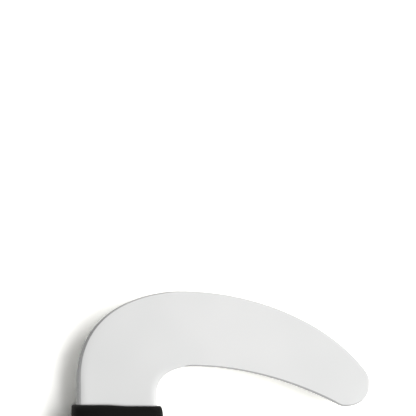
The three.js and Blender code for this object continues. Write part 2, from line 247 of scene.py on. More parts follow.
# %% Draw the blade's outline
NECK_SEAT = 4
BACK_STRAIGHT = 7.3
FRONT_STRAIGHT = 3.8
CREST_X = 21.8
ARCH_X = 25.8
ARCH_HEIGHT = 13.06
TIP_HEIGHT = 7.3
TIP_ROUND_ACROSS = 8.4
TIP_ROUND_DOWN = 7.82
TIP_FULLNESS = 2.25
TIP_MEETS = -45
SHOULDER_BACK = 2.95
SHOULDER_RISE = 6.2
SHOULDER_SLOPE = 50.1
HEEL_BACK = 4.6
HEEL_RISE = 1.7
HEEL_SLOPE = 26.1
BACK_CURVE = (0.605, 0.15)
FRONT_CURVE = (0.555, 0.13)
CUTTING_CURVE = (0.367, 0.301)
HOLLOW_CURVE = (0.203, 0.47)
SHOULDER_CURVE = (0.48, 0.4)
HEEL_CURVE = (0.35, 0.35)
TANG_SIDE = 7.5
TANG_FILLET = 1.2
SHOULDER_FALL = 0.2
neck_side = -blade_low.x / MM
blade_reach = blade_high.x / MM
tang_end = (MOUTH_Y - blade_low.y) / MM
level, upward = down(0), down(-90)
back = (-neck_side, BACK_STRAIGHT)
front = (neck_side, FRONT_STRAIGHT)
crest = (CREST_X, (blade_high.y - MOUTH_Y) / MM)
arch = (ARCH_X, ARCH_HEIGHT)
tip = (blade_reach, TIP_HEIGHT)
tip_middle = (blade_reach - TIP_ROUND_ACROSS, TIP_HEIGHT)
lowest = (tip_middle[0], TIP_HEIGHT - TIP_ROUND_DOWN)
shoulder = (tip[0] - SHOULDER_BACK, tip[1] + SHOULDER_RISE)
heel = (lowest[0] - HEEL_BACK, lowest[1] + HEEL_RISE)
tang_round = (0, TANG_SIDE - tang_end)
fillet_side = TANG_SIDE + TANG_FILLET
fillet_start = -NECK_SEAT - TANG_FILLET
neck_start = SHOULDER_FALL - NECK_SEAT
tang_edge = {
    "tang end": arc(tang_round, TANG_SIDE, TANG_SIDE, -90, 0),
    "tang": line((TANG_SIDE, tang_round[1]), (TANG_SIDE, fillet_start)),
    "fillet": arc((fillet_side, fillet_start), TANG_FILLET, TANG_FILLET, 180, 90),
    "shoulder": line((fillet_side, -NECK_SEAT), (neck_side, neck_start)),
}
inner_edge = {
    **tang_edge,
    "neck": line((neck_side, neck_start), front),
    "turn": bend(front, upward, arch, level, FRONT_CURVE),
    "sweep": bend(arch, level, heel, down(HEEL_SLOPE), HOLLOW_CURVE),
    "nose": bend(heel, down(HEEL_SLOPE), lowest, level, HEEL_CURVE),
    "tip": arc(tip_middle, TIP_ROUND_ACROSS, TIP_ROUND_DOWN, -90, TIP_MEETS, TIP_FULLNESS),
}
outer_edge = {
    **{part: points * (-1, 1) for part, points in tang_edge.items()},
    "neck": line((-neck_side, neck_start), back),
    "turn": bend(back, upward, crest, level, BACK_CURVE),
    "sweep": bend(crest, level, shoulder, down(SHOULDER_SLOPE), CUTTING_CURVE),
    "nose": bend(shoulder, down(SHOULDER_SLOPE), tip, down(90), SHOULDER_CURVE),
    "tip": arc(tip_middle, TIP_ROUND_ACROSS, TIP_ROUND_DOWN, 0, TIP_MEETS, TIP_FULLNESS),
}
print("neck", round(2 * neck_side, 2), "mm wide, reach", round(blade_reach, 2), "mm")

# %% [markdown]
# ## The blade's ribs
# A blade is thickest at its spine and thins towards its cutting edge. Here a rib is a cross-section from
# the inner edge to the outer one. The outer edge starts as a thick back, thins to the cutting edge over the
# hook, and the last ribs close up round the tip. Sculpting such a face by hand leaves dents, which steel
# shows at once. So each rib only gets a thickness at both of its ends, and the face between them is flat.

# %% Lay out the ribs
RIBS = {
    "tang end": 18,
    "tang": 12,
    "fillet": 8,
    "shoulder": 8,
    "neck": 16,
    "turn": 90,
    "sweep": 90,
    "nose": 36,
    "tip": 32,
}
CUTTING_PARTS = ("sweep", "nose", "tip")
TANG_THICKNESS = 2.6
TIP_THICKNESS = 1.4
EDGE_THICKNESS = 0.6
TIP_END = 0.9
CREST_SHARP = 0.35
SHARP_POWER = 1.3


def ease(value, low, high):
    """A soft step from 0 to 1."""
    share = np.clip((value - low) / (high - low), 0, 1)
    return share * share * (3 - 2 * share)


def sharpness(part, count):
    """How far a rib's outer edge is thinned to a cutting edge, from 0 to 1."""
    share = np.linspace(0, 1, count)
    if part == "turn":
        return CREST_SHARP * share**SHARP_POWER
    if part == "sweep":
        return CREST_SHARP + (1 - CREST_SHARP) * share
    return np.full(count, float(part in CUTTING_PARTS))


def closing(part, count):
    """How far a rib has closed up towards the end of the tip, from 0 to 1."""
    return ease(np.linspace(0, 1, count), 0, 1) * (part == "tip")


neck_thickness = (blade_high.z - blade_low.z) / MM
inner = np.concatenate([evenly(inner_edge[part], count) for part, count in RIBS.items()])
outer = np.concatenate([evenly(outer_edge[part], count) for part, count in RIBS.items()])
sharp = np.concatenate([sharpness(part, count) for part, count in RIBS.items()])
in_tang = np.concatenate([np.full(count, part in tang_edge) for part, count in RIBS.items()])
middles = (inner + outer) / 2
thinning = np.clip(middles[:, 0] / blade_reach, 0, 1)
thickness = neck_thickness + (TIP_THICKNESS - neck_thickness) * thinning
tang_or_blade = np.where(in_tang, TANG_THICKNESS, thickness)
closed = np.concatenate([closing(part, count) for part, count in RIBS.items()])
spine = tang_or_blade / 2
behind_edge = spine + (EDGE_THICKNESS / 2 - spine) * sharp
spine += (TIP_END / 2 - spine) * closed
behind_edge += (TIP_END / 2 - behind_edge) * closed
strides = np.linalg.norm(np.diff(middles, axis=0), axis=1)
along = np.concatenate([[0], np.cumsum(strides)])
print(len(inner), "ribs, blade", round(along[-1], 1), "mm long from the tang's end")

# %% [markdown]
# ## The blade's edges
# A grinder's belt has broken every corner of the outline, which leaves a sloped strip called a land. At the
# back of the neck it is steep and narrows over the hook. At the front of the neck it is broad and shallow
# and catches the light, and along the hollow it is narrow and steep. The face also rolls off a little
# towards both sides of the neck. A Bevel modifier has one width everywhere, so here each point of the
# outline stores its own land, on guides that the node tree reads.

# %% Values along the outline


def fade(start, end, power=0, begin=0):
    """A value along a stretch of the outline: a soft step, or a fall that is quickest at its start."""

    def along_stretch(count):
        share = np.linspace(0, 1, count)
        moved = 1 - (1 - share) ** power if power else ease(share, begin, 1)
        return start + (end - start) * moved

    return along_stretch


def along_outline(rules, elsewhere):
    """A value for every rib, from one rule for each stretch that has its own."""
    plain = fade(elsewhere, elsewhere)
    return np.concatenate([rules.get(part, plain)(count) for part, count in RIBS.items()])


print("a value for each of", len(inner), "ribs, on either edge")

# %% Shape the lands
EDGE_SLOPE = 0.76
CUTTING_SLOPE = 0.1
BACK_LAND = 1.22
BACK_LAND_FADE = 2.2
FRONT_LAND = 1.5
FRONT_SLOPE = 0.09
FRONT_NARROWS = 0.3
FRONT_STEEPENS = 0.8
NARROW_LAND = 0.25
HOLLOW_LAND = (0.4, 0.6)
CUTTING_LAND = 0.45
TANG_LAND = 0.3
inner_land = along_outline(
    {
        "turn": fade(FRONT_LAND, HOLLOW_LAND[0], begin=FRONT_NARROWS),
        "sweep": fade(*HOLLOW_LAND),
        "nose": fade(HOLLOW_LAND[1], HOLLOW_LAND[0]),
        "tip": fade(HOLLOW_LAND[0], NARROW_LAND),
    },
    elsewhere=FRONT_LAND,
)
outer_land = along_outline(
    {
        "turn": fade(BACK_LAND, NARROW_LAND, BACK_LAND_FADE),
        "sweep": fade(NARROW_LAND, CUTTING_LAND),
        "nose": fade(CUTTING_LAND, NARROW_LAND),
        "tip": fade(NARROW_LAND, NARROW_LAND),
    },
    elsewhere=BACK_LAND,
)
inner_slope = along_outline(
    {
        "neck": fade(FRONT_SLOPE, FRONT_SLOPE),
        "turn": fade(FRONT_SLOPE, EDGE_SLOPE, begin=FRONT_STEEPENS),
    },
    elsewhere=EDGE_SLOPE,
)
outer_slope = EDGE_SLOPE + (CUTTING_SLOPE - EDGE_SLOPE) * np.minimum(sharp / CREST_SHARP, 1) ** 2
inner_land = np.where(in_tang, TANG_LAND, inner_land)
outer_land = np.where(in_tang, TANG_LAND, outer_land)
inner_wall = 1 - inner_land * inner_slope / spine
outer_wall = 1 - outer_land * outer_slope / behind_edge
print("lands from", round(min(outer_land), 2), "to", round(max(outer_land), 2), "mm wide")
print("square wall from", round(min(outer_wall), 2), "to", round(max(outer_wall), 2), "of the thickness")

# %% Lay out the guides
BACK_ROLL = 0.15
BACK_ROLL_REACH = 3.4
FRONT_ROLL = 0.04
FRONT_ROLL_REACH = 1.5
ROLL_FADE = 3.5
PIN_NODES = ("tang_pin_upper", "tang_pin_middle", "tang_pin_lower")


def guide(name, points, edges=(), **numbers):
    """Points that a geometry tree reads, each with the numbers that belong to it."""
    mesh = bpy.data.meshes.new(name)
    mesh.from_pydata([tuple(map(float, point)) for point in points], list(edges), [])
    for title, values in numbers.items():
        mesh.attributes.new(title, "FLOAT", "POINT").data.foreach_set("value", values)
    return bpy.data.objects.new(name, mesh)


def rolled_off(depth):
    """How far the face drops towards the edge: fully at the neck, fading out over the turn."""
    return along_outline({"neck": fade(depth, depth), "turn": fade(depth, 0, ROLL_FADE)}, elsewhere=0)


def laid_flat(points):
    """Outline points in millimetres from the mouth, as places on the blade's mid-plane in metres."""
    return np.column_stack([points[:, 0] * MM, MOUTH_Y + points[:, 1] * MM, np.zeros(len(points))])


rib_guide = guide(
    "inner_guide", laid_flat(inner), spine=spine * MM, behind=behind_edge * MM, along=along * MM
)
outer_guide = guide("outer_guide", laid_flat(outer))
loop = np.concatenate([inner, outer[::-1]])
loop_guide = guide(
    "loop_guide",
    laid_flat(loop),
    edges=[(spot, (spot + 1) % len(loop)) for spot in range(len(loop))],
    land=np.concatenate([inner_land, outer_land[::-1]]) * MM,
    wall=np.concatenate([inner_wall, outer_wall[::-1]]),
    roll=np.concatenate([rolled_off(FRONT_ROLL), rolled_off(BACK_ROLL)[::-1]]) * MM,
    reach=np.repeat([FRONT_ROLL_REACH, BACK_ROLL_REACH], len(inner)) * MM,
)
pin_boxes = [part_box(node) for node in PIN_NODES]
pin_places = [(low + high) / 2 for low, high in pin_boxes]
pin_guide = guide("pin_guide", pin_places)
print("guides of", len(inner), "ribs,", len(loop), "points of the outline and", len(pin_places), "dowels")

# %% [markdown]
# ## The blade as a rule
# The blade's shape follows one rule from end to end, so Geometry Nodes make it. A grid has one row of points
# for each rib. Every point finds its rib on the guides and moves to its place between the two edges. Points
# crowd together at both edges, where the surface turns fastest.

# %% Place points across the ribs
POINTS_ACROSS = 61
EDGE_POINTS = 15
EDGE_ZONE = 1.8
ZONE_SHARE = 0.4


def crowded(tree, share, reach):
    """Distances from an edge that crowd together towards it."""
    do = sums(tree)
    turned = calc(tree, "COSINE", do.times(share, math.pi / 2))
    return do.times(reach, do.minus(1, turned))


def across_rib(tree, size, step, ends):
    """A point's distance from the inner edge, in metres and as a share of its rib."""
    do = sums(tree)
    width = wire(tree, "ShaderNodeVectorMath", dict(enumerate(ends)), "Value", operation="DISTANCE")
    zone = do.least(size["Edge Zone"], do.times(width, size["Zone Share"]))
    steps = do.minus(size["Points Across"], 1)
    share = do.over(step, steps)
    edge_share = do.over(size["Edge Points"], steps)
    from_inner = do.least(do.over(share, edge_share), 1)
    from_outer = do.least(do.over(do.minus(1, share), edge_share), 1)
    bounds = {0: share, 1: edge_share, 2: do.minus(1, edge_share)}
    across_face = wire(tree, "ShaderNodeMapRange", bounds)
    face_width = calc(tree, "MULTIPLY_ADD", zone, -2, width)
    inner_part = calc(tree, "MULTIPLY_ADD", across_face, face_width, crowded(tree, from_inner, zone))
    outer_part = do.minus(zone, crowded(tree, from_outer, zone))
    distance = do.plus(inner_part, outer_part)
    return distance, do.over(distance, width)


print(POINTS_ACROSS, "points across,", EDGE_POINTS, "of them near each edge")

# %% [markdown]
# ## The blade's faces and lands
# Each point then rises by half the blade's thickness. Near the outline it rises less: a square wall stands
# at the rim, and from its top the land slopes up to the face and meets it in a soft crease. Geometry
# Proximity measures how far the outline is, and Sample Nearest finds the point of it that knows the land, so
# one formula serves every edge, where bevels would have to be made one by one. A point within a hair of the
# outline counts as on it and stays down, so that the two faces meet there.

# %% Raise the points
CREASE_ROUND = 0.1
CORNER_ROUND = 0.008
ON_EDGE = 0.0001


def points_of(tree, holder):
    """The points of a guide, in a tree."""
    return wire(tree, "GeometryNodeObjectInfo", {"Object": holder}, "Geometry")


def stored(tree, name):
    """A number that belongs to a guide's points, in a tree."""
    return wire(tree, "GeometryNodeInputNamedAttribute", {"Name": name}, data_type="FLOAT")


def sample(tree, points, value, spot, kind="FLOAT"):
    """A value at one numbered point of a guide."""
    inputs = {"Geometry": points, "Value": value, "Index": spot}
    return wire(tree, "GeometryNodeSampleIndex", inputs, data_type=kind)


def quarter_round(tree, distance, reach):
    """The rise of a quarter round: 0 at the edge, 1 at its reach."""
    do = sums(tree)
    left = do.minus(1, do.least(do.over(distance, reach), 1))
    return calc(tree, "SQRT", do.minus(1, do.times(left, left)))


def ground_height(tree, size, flat, plain):
    """How high a point rises where the plain face would have that height, and whether it is on a land."""
    do = sums(tree)
    outline = points_of(tree, size["Outline"])
    nearby = {0: outline, "Source Position": flat}
    to_edge = wire(tree, "GeometryNodeProximity", nearby, "Distance", target_element="EDGES")
    nearest = wire(tree, "GeometryNodeSampleNearest", {0: outline, "Sample Position": flat})
    names = ("land", "wall", "roll", "reach")
    land, wall, roll, reach = [sample(tree, outline, stored(tree, name), nearest) for name in names]
    rolled = do.minus(1, do.least(do.over(to_edge, reach), 1))
    face = do.minus(plain, do.times(roll, calc(tree, "POWER", rolled, 2)))
    off_edge = do.most(do.minus(to_edge, size["On Edge"]), 0)
    corner = quarter_round(tree, off_edge, size["Corner Round"])
    wall_rise = do.times(do.times(wall, face), corner)
    slope = do.over(do.times(do.minus(1, wall), face), land)
    land_rise = calc(tree, "MULTIPLY_ADD", to_edge, slope, wall_rise)
    softened = calc(tree, "SMOOTH_MIN", land_rise, face, size["Crease Round"])
    return do.most(softened, 0), calc(tree, "LESS_THAN", to_edge, land)


print("corner round", CORNER_ROUND, "mm, crease round", CREASE_ROUND, "mm")

# %% [markdown]
# ## Both faces and the dowel holes
# The two faces of the blade are alike, so a mirrored copy makes the second one, and welding their shared rim
# closes the blade. Then the dowel holes are cut through the tang with copies of one drill. The tree also
# stores the map called grain that the steel's finish reads.

# %% One face


def one_face(tree, size):
    """One face of the blade, with the map for its finish."""
    ribs, outer_ends = points_of(tree, size["Inner Edge"]), points_of(tree, size["Outer Edge"])
    count = size["Points Across"]
    sheet = wire(tree, "GeometryNodeMeshGrid", {"Vertices X": size["Ribs"], "Vertices Y": count})
    numbers = {0: wire(tree, "GeometryNodeInputIndex"), 1: count}
    rib = wire(tree, "FunctionNodeIntegerMath", numbers, operation="DIVIDE_FLOOR")
    step = wire(tree, "FunctionNodeIntegerMath", numbers, operation="MODULO")
    place = wire(tree, "GeometryNodeInputPosition")
    ends = [sample(tree, edge, place, rib, "FLOAT_VECTOR") for edge in (ribs, outer_ends)]
    distance, across = across_rib(tree, size, step, ends)
    flat = wire(tree, "ShaderNodeMix", {0: across, 4: ends[0], 5: ends[1]}, 1, data_type="VECTOR")
    names = ("spine", "behind", "along")
    thick, thin, run = [sample(tree, ribs, stored(tree, name), rib) for name in names]
    height, on_land = ground_height(tree, size, flat, between(tree, across, thick, thin))
    rise = wire(tree, "ShaderNodeCombineXYZ", {"Z": height})
    raised = wire(tree, "ShaderNodeVectorMath", {0: flat, 1: rise}, operation="ADD")
    top = wire(tree, "GeometryNodeSetPosition", {"Geometry": sheet, "Position": raised})
    grain = wire(tree, "ShaderNodeCombineXYZ", {"X": run, "Y": distance, "Z": on_land})
    mapped = {"Geometry": top, "Name": "grain", "Value": grain}
    return wire(tree, "GeometryNodeStoreNamedAttribute", mapped, data_type="FLOAT_VECTOR", domain="POINT")


print("a face of", len(inner) * POINTS_ACROSS, "points")

# %% Both faces and the holes
HOLE_SIDES = 48
DRILL_DEPTH = 4


def ground_blade(tree, size):
    """Both faces, welded, moved to the blade's height and drilled."""
    face = one_face(tree, size)
    mirrored = wire(tree, "GeometryNodeTransform", {"Geometry": face, "Scale": (1, 1, -1)})
    turned = wire(tree, "GeometryNodeFlipFaces", {"Mesh": mirrored})
    both = wire(tree, "GeometryNodeJoinGeometry", {0: face})
    tree.links.new(turned, both.node.inputs[0])
    welded = wire(tree, "GeometryNodeMergeByDistance", {"Geometry": both, "Distance": size["Weld"]})
    lift = wire(tree, "ShaderNodeCombineXYZ", {"Z": size["Middle"]})
    lifted = wire(tree, "GeometryNodeTransform", {"Geometry": welded, "Translation": lift})
    radius = size["Hole Radius"]
    drill = {"Vertices": HOLE_SIDES, "Radius": radius, "Depth": calc(tree, "MULTIPLY", radius, DRILL_DEPTH)}
    bit = wire(tree, "GeometryNodeMeshCylinder", drill)
    places = {"Points": points_of(tree, size["Dowels"]), "Instance": bit}
    drills = wire(tree, "GeometryNodeInstanceOnPoints", places)
    bits = wire(tree, "GeometryNodeRealizeInstances", {"Geometry": drills})
    return wire(tree, "GeometryNodeMeshBoolean", {"Mesh 1": lifted, "Mesh 2": bits}, solver="EXACT")


print("holes of", HOLE_SIDES, "sides")

# %% [markdown]
# ## From a tree to a mesh
# A geometry tree is only a rule, and what is handed on has to be a plain mesh. So each tree gets a named
# input for every size, and ends with smooth faces, crisp creases and a finish. A modifier then runs it on an
# empty object, with every size filled in, and the result is kept as a mesh of its own. Applying the modifier
# by hand would give the same, but would have to be done again after each change.

# %% From a tree to a mesh
SOCKETS = {bpy.types.Object: "Object", bpy.types.Material: "Material", int: "Int", float: "Float"}


def finish_off(tree, size, mesh):
    """Smooth faces with crisp creases, one plain mesh, and its finish."""
    smooth = wire(tree, "GeometryNodeSetShadeSmooth", {"Geometry": mesh}, domain="FACE")
    angle = wire(tree, "GeometryNodeInputMeshEdgeAngle", output="Unsigned Angle")
    crisp = calc(tree, "GREATER_THAN", angle, size["Crease"])
    creases = {"Geometry": smooth, "Selection": crisp, "Shade Smooth": False}
    creased = wire(tree, "GeometryNodeSetShadeSmooth", creases, domain="EDGE")
    whole = wire(tree, "GeometryNodeRealizeInstances", {"Geometry": creased})
    return wire(tree, "GeometryNodeSetMaterial", {"Geometry": whole, "Material": size["Finish"]})


def bake(piece):
    """Turn a piece's modifiers into plain mesh."""
    depsgraph = bpy.context.evaluated_depsgraph_get()
    grown = piece.evaluated_get(depsgraph)
    mesh = bpy.data.meshes.new_from_object(grown, preserve_all_data_layers=True, depsgraph=depsgraph)
    piece.modifiers.clear()
    piece.data = mesh
    print(piece.name, "has", len(mesh.vertices), "points and", len(mesh.polygons), "faces")
    return piece


def harvest(name, build, settings):
    """Build a geometry tree with a named input for each setting, run it and keep what it makes."""
    tree = bpy.data.node_groups.new(build.__name__, "GeometryNodeTree")
    for title, value in settings.items():
        kind = f"NodeSocket{SOCKETS[type(value)]}"
        tree.interface.new_socket(title, in_out="INPUT", socket_type=kind)
    tree.interface.new_socket("Geometry", in_out="OUTPUT", socket_type="NodeSocketGeometry")
    given = tree.nodes.new("NodeGroupInput").outputs
    size = {title: given[title] for title in settings}
    finished = finish_off(tree, size, build(tree, size))
    tree.links.new(finished, tree.nodes.new("NodeGroupOutput").inputs[0])
    piece = bpy.data.objects.new(name, bpy.data.meshes.new(name))
    bpy.context.scene.collection.objects.link(piece)
    modifier = piece.modifiers.new(tree.name, "NODES")
    modifier.node_group = tree
    for item in tree.interface.items_tree:
        if item.in_out == "INPUT":
            modifier[item.identifier] = settings[item.name]
    return bake(piece)


print("inputs can be", list(SOCKETS.values()))

# %% Grow the blade
HOLE_GAP = 0.3
CREASE = 38
WELD = 0.004
CUBIC_CM = 1e6


def volume(piece):
    """A closed piece's volume in cubic centimetres, positive when its faces point outwards."""
    form = bmesh.new()
    form.from_mesh(piece.data)
    cubic = form.calc_volume(signed=True) * CUBIC_CM
    open_edges = sum(not edge.is_manifold for edge in form.edges)
    form.free()
    return f"{cubic:.3f} cm3 with {open_edges} open edges"


pin_radius = (pin_boxes[0][1].x - pin_boxes[0][0].x) / 2
blade = harvest(
    "knife_blade",
    ground_blade,
    {
        "Inner Edge": rib_guide,
        "Outer Edge": outer_guide,
        "Outline": loop_guide,
        "Dowels": pin_guide,
        "Ribs": len(inner),
        "Points Across": POINTS_ACROSS,
        "Edge Points": EDGE_POINTS,
        "Edge Zone": EDGE_ZONE * MM,
        "Zone Share": ZONE_SHARE,
        "Corner Round": CORNER_ROUND * MM,
        "Crease Round": CREASE_ROUND * MM,
        "Hole Radius": pin_radius + HOLE_GAP * MM,
        "Middle": MID_Z,
        "Crease": math.radians(CREASE),
        "Weld": WELD * MM,
        "On Edge": ON_EDGE * MM,
        "Finish": STEEL,
    },
)
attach(blade, "root")
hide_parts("blade")
print("blade", volume(blade))

# %% [markdown]
# ## Dowel steel
# Three short dowels lock the tang to the core. They are turned on a lathe, which leaves fine rings round
# each of them. A noise that is squeezed along the dowel gives such rings without any image.

# %% Bright dowel steel
DOWEL_COLOUR = ((0.60, 0.61, 0.62, 1), (0.70, 0.71, 0.72, 1))
DOWEL_ROUGHNESS = (0.22, 0.38)
TURNING_WIDTH = 0.12 * MM
TURNING_STRETCH = 40


def turned_steel():
    finish, tree, shader = new_finish("turned_steel")
    body = wire(tree, "ShaderNodeTexCoord", output="Object")
    rings = {"Vector": body, "Scale": (1 / TURNING_STRETCH, 1 / TURNING_STRETCH, 1)}
    marks = noise(tree, wire(tree, "ShaderNodeMapping", rings), TURNING_WIDTH)
    shader.inputs["Metallic"].default_value = 1
    tone = tint(tree, marks, *DOWEL_COLOUR)
    plug(tree, shader, Base_Color=tone, Roughness=spread(tree, marks, *DOWEL_ROUGHNESS))
    return finish


DOWEL_STEEL = turned_steel()
print("made", DOWEL_STEEL.name)

# %% [markdown]
# ## Dowel pins
# The dowels are cut rod with chamfered ends, all alike, so one is made and the node tree puts a copy at each
# place. A dowel is a circle swept along a straight line, and the girth stored on the line's points makes the
# chamfers, which is easier to change than a cylinder with a bevel on top.

# %% Sweep the dowels
PIN_CHAMFER = 0.5
PIN_SIDES = 40


def dowel_pins(tree, size):
    """A chamfered dowel at each place."""
    path = wire(tree, "GeometryNodeMeshToCurve", {"Mesh": points_of(tree, size["Rod"])})
    circle = wire(tree, "GeometryNodeCurvePrimitiveCircle", {"Resolution": size["Sides"], "Radius": 1})
    sweep = {"Curve": path, "Profile Curve": circle, "Scale": stored(tree, "girth"), "Fill Caps": True}
    pin = wire(tree, "GeometryNodeCurveToMesh", sweep)
    places = {"Points": points_of(tree, size["Places"]), "Instance": pin}
    return wire(tree, "GeometryNodeInstanceOnPoints", places)


pin_half = (pin_boxes[0][1].z - pin_boxes[0][0].z) / 2
chamfer = PIN_CHAMFER * MM
rod_heights = [-pin_half, -pin_half + chamfer, pin_half - chamfer, pin_half]
rod_girths = [pin_radius - chamfer, pin_radius, pin_radius, pin_radius - chamfer]
rod_guide = guide(
    "rod_guide",
    [(0, 0, height) for height in rod_heights],
    edges=[(0, 1), (1, 2), (2, 3)],
    girth=rod_girths,
)
pins = harvest(
    "tang_pins",
    dowel_pins,
    {
        "Places": pin_guide,
        "Rod": rod_guide,
        "Sides": PIN_SIDES,
        "Crease": math.radians(CREASE),
        "Finish": DOWEL_STEEL,
    },
)
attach(pins, "root")
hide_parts(*PIN_NODES)
print("pins", volume(pins))
for used in (rib_guide, outer_guide, loop_guide, pin_guide, rod_guide):
    bpy.data.objects.remove(used)

# %% [markdown]
# ## Soft-touch black
# The grip is black rubber with the dull bloom of a spark-eroded mould: nearly no diffuse colour, a broad
# weak shine, and a texture too fine to see as dots. Hands polish such rubber where they rub most, so the
# rims and the fullest part of the grip are a little smoother. The mesh carries that as an attribute called
# rubbed. The cap, the core and the gasket are plain moulded stuff, so one function makes all three.

# %% Soft-touch rubber
GRIP_DARK = (0.0036, 0.0036, 0.0033, 1)
GRIP_PALE = (0.0054, 0.0053, 0.0050, 1)
GRIP_SHINE = 0.12
GRIP_ROUGHNESS = (0.48, 0.56)
RUBBED_ROUGHNESS = 0.42
MOULD_GRAIN = 0.22 * MM
MOULD_DEPTH = 0.004 * MM
FLOW_SIZE = 18 * MM


def soft_touch():
    finish, tree, shader = new_finish("soft_touch_black")
    body = wire(tree, "ShaderNodeTexCoord", output="Object")
    rubbed = wire(tree, "ShaderNodeAttribute", output="Fac", attribute_name="rubbed")
    dots = noise(tree, body, MOULD_GRAIN)
    flow = noise(tree, body, FLOW_SIZE)
    matt = spread(tree, flow, *GRIP_ROUGHNESS)
    shader.inputs["Specular IOR Level"].default_value = GRIP_SHINE
    plug(
        tree,
        shader,
        Base_Color=tint(tree, spread(tree, flow, 0, 1), GRIP_DARK, GRIP_PALE),
        Roughness=between(tree, rubbed, matt, RUBBED_ROUGHNESS),
        Normal=bump(tree, dots, MOULD_DEPTH),
    )
    return finish


GRIP_BLACK = soft_touch()
print("made", GRIP_BLACK.name)

# %% Moulded plastics


def moulded(name, dark, pale, roughness, grain, depth):
    """A plain moulded plastic or rubber, with slow changes of tone and a faint texture in millimetres."""
    finish, tree, shader = new_finish(name)
    body = wire(tree, "ShaderNodeTexCoord", output="Object")
    dots = noise(tree, body, grain * MM)
    flow = noise(tree, body, FLOW_SIZE)
    plug(
        tree,
        shader,
        Base_Color=tint(tree, spread(tree, flow, 0, 1), dark, pale),
        Roughness=spread(tree, dots, *roughness),
        Normal=bump(tree, dots, depth * MM),
    )
    return finish


CAP_BLACK = moulded(
    "cap_plastic",
    dark=(0.006, 0.006, 0.006, 1),
    pale=(0.010, 0.010, 0.0095, 1),
    roughness=(0.34, 0.44),
    grain=0.3,
    depth=0.004,
)
CORE_GREY = moulded(
    "core_plastic",
    dark=(0.036, 0.037, 0.039, 1),
    pale=(0.050, 0.051, 0.053, 1),
    roughness=(0.5, 0.65),
    grain=0.6,
    depth=0.01,
)
GASKET_BLACK = moulded(
    "gasket_rubber",
    dark=(0.008, 0.008, 0.008, 1),
    pale=(0.013, 0.013, 0.013, 1),
    roughness=(0.7, 0.85),
    grain=0.25,
    depth=0.006,
)
print("made", [finish.name for finish in (CAP_BLACK, CORE_GREY, GASKET_BLACK)])

# %% [markdown]
# ## The grip's section
# The grip is oval with squarish corners, swells behind the index finger and under the little finger, and
# rounds off at the butt. Its section is a superellipse: one formula that goes from an ellipse to a rounded
# box as its exponent grows. Cut off short at both ends, it gets the flat sides of the real grip. The half
# sizes at five stations drive it, and a smooth curve fills in between.

# %% Grip sizes along its length
STATIONS = np.array([0, 22, 46, 72, GRIP_LENGTH])
PALM = np.array([0, 0.3, 0.7, 0.5, -1.1])
FINGER = np.array([0.1, 2.2, 1.3, 1.9, -0.7])
HALF = np.array([8.8, 11.7, 11.9, 11.8, 10])
MOUTH_LIP = 1.35
FIT_GAP = 0.3
SQUARENESS = 3.1
RING_POINTS = 168
SEAM_PLACES = np.array([0.08, 0.16, 0.24, 0.34])
FLAT_SIDE = 1.06
FINE_STEPS = 40000
mouth_side = neck_side + FIT_GAP + MOUTH_LIP


def through_stations(depth, values):
    """A smooth curve through the stations. Its slope at each is that of the parabola nearest to it."""
    last = len(STATIONS) - 1
    slopes = np.zeros(last + 1)
    for station in range(last + 1):
        first = min(max(station - 1, 0), last - 2)
        parabola = np.polyfit(STATIONS[first : first + 3], values[first : first + 3], 2)
        slopes[station] = np.polyval(np.polyder(parabola), STATIONS[station])
    above = min(max(int(np.searchsorted(STATIONS, depth, side="right")) - 1, 0), last - 1)
    span = STATIONS[above + 1] - STATIONS[above]
    t = (depth - STATIONS[above]) / span
    start = (2 * t**3 - 3 * t**2 + 1) * values[above] + (t**3 - 2 * t**2 + t) * span * slopes[above]
    end = (3 * t**2 - 2 * t**3) * values[above + 1] + (t**3 - t**2) * span * slopes[above + 1]
    return start + end


def squared(value):
    """The superellipse's power of a sine or cosine, with its sign kept."""
    return np.sign(value) * np.abs(value) ** (2 / SQUARENESS)


def ring_angles():
    """Angles with points evenly round a middling section, and more at parting lines and flat corners."""
    fine = np.linspace(0, 2 * math.pi, FINE_STEPS + 1)
    round_points = np.column_stack([mouth_side * squared(np.cos(fine)), HALF[1] * squared(np.sin(fine))])
    steps = np.linalg.norm(np.diff(round_points, axis=0), axis=1)
    walked = np.concatenate([[0], np.cumsum(steps)])
    even = np.interp(np.linspace(0, walked[-1], RING_POINTS + 1)[:-1], walked, fine)
    near = np.arcsin((SEAM_PLACES / HALF[1]) ** (SQUARENESS / 2))
    corner = math.acos(FLAT_SIDE ** (-SQUARENESS / 2))
    near = np.append(near, corner)
    extra = np.concatenate([near, math.pi - near, math.pi + near, 2 * math.pi - near])
    return np.unique(np.concatenate([even, extra]))


ANGLES = ring_angles()
print("ring of", len(ANGLES), "points, mouth", round(2 * mouth_side, 2), "mm wide")

# %% [markdown]
# ## The grip's skin
# The sleeve is moulded in two halves of a mould, so a hair-fine parting line runs down each side. Its mouth
# is slightly dished and dips a little towards the finger side, its rim is rounder on the broad faces than at
# the sides, and its underside has a flat to rest on. Rings of points laid down the length carry all of that
# in a few lines of arithmetic, which a hand-placed mesh would not.

# %% Section of the grip
MOUTH_ROUND = {"palm": 0.6, "finger": 1.1, "face": 2.2}
RIM_FALL = {"palm": 0.3, "finger": 0.6, "face": 1.1}
BUTT_DOWN = 10
BUTT_ROUND = {"palm": 6.4, "finger": 6.4, "face": 4.6}
SKIN_INSET = 0.02
REST_SOFTNESS = 0.6
MOUTH_DIP = 0.4
DIP_FROM = -4.2
DIP_FULL = 4.6
DIP_FADE = 9
rest_level = (sleeve_low.z - MID_Z) / MM


def rim_share(depth, reach):
    """How much of the rim's fall is left at a depth: 1 at the mouth, 0 at the rim's reach."""
    return (1 - min(depth / reach, 1)) ** 2


